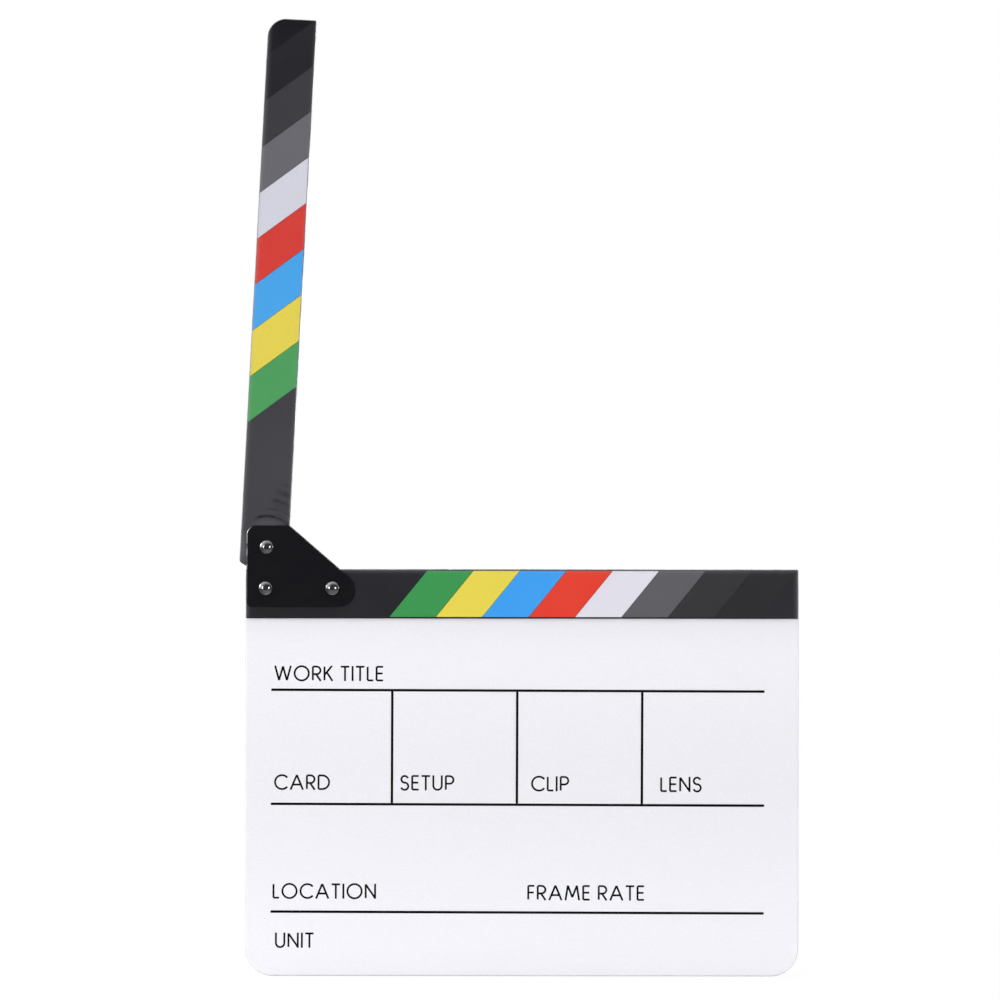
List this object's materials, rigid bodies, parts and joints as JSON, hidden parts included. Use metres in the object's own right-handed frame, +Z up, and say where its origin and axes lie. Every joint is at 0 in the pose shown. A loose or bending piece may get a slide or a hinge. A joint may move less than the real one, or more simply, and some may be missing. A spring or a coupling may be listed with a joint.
{
  "type": "clapperboard",
  "caption": "Film clapperboard: a white slate held in a slotted lower clapstick, with a colour-striped upper clapstick that swings between hinge plates and claps down on it.",
  "frame": {"origin": "middle of the slate's bottom edge, halfway through its thickness", "axes": "+X to the right as the slate is read, +Y from its front to its back, +Z up; the clapstick is stored open"},
  "size_m": [0.3001, 0.0203, 0.5133],
  "materials": {
    "white_acrylic": "white cast acrylic sheet, semi-gloss",
    "black_lacquered_wood": "black satin lacquer on hardwood",
    "black_powder_coat": "black satin powder coat on steel",
    "bright_zinc": "bright zinc plate",
    "plain_steel": "turned",
    "natural_nylon": "moulded",
    "green_vinyl": "cut self-adhesive vinyl, satin",
    "yellow_vinyl": "cut self-adhesive vinyl, satin",
    "blue_vinyl": "cut self-adhesive vinyl, satin",
    "red_vinyl": "cut self-adhesive vinyl, satin",
    "white_vinyl": "cut self-adhesive vinyl, satin",
    "light_grey_vinyl": "cut self-adhesive vinyl, satin",
    "mid_grey_vinyl": "cut self-adhesive vinyl, satin",
    "dark_grey_vinyl": "cut self-adhesive vinyl, satin"
  },
  "bodies": {
    "slate": {"slate_board": "white_acrylic", "lower_stick": "black_lacquered_wood", "front_hinge_plate": "black_powder_coat", "rear_hinge_plate": "black_powder_coat", "pivot_screw": "bright_zinc", "fixing_screws": "bright_zinc", "pivot_sleeve": "plain_steel", "washers": "bright_zinc", "lock_nuts": "bright_zinc", "lock_nut_inserts": "natural_nylon", "lower_film_green": "green_vinyl", "lower_film_yellow": "yellow_vinyl", "lower_film_blue": "blue_vinyl", "lower_film_red": "red_vinyl", "lower_film_white": "white_vinyl", "lower_film_light_grey": "light_grey_vinyl", "lower_film_mid_grey": "mid_grey_vinyl", "lower_film_dark_grey": "dark_grey_vinyl"},
    "clap_stick": {"upper_stick": "black_lacquered_wood", "upper_film_green": "green_vinyl", "upper_film_yellow": "yellow_vinyl", "upper_film_blue": "blue_vinyl", "upper_film_red": "red_vinyl", "upper_film_white": "white_vinyl", "upper_film_light_grey": "light_grey_vinyl", "upper_film_mid_grey": "mid_grey_vinyl", "upper_film_dark_grey": "dark_grey_vinyl"}
  },
  "joints": [
    {"name": "clap_hinge", "type": "hinge", "parent": "slate", "child": "clap_stick", "pos_m": [-0.137, 0, 0.2301], "axis": [0, -1, 0], "range_deg": [-87, 3]}
  ]
}
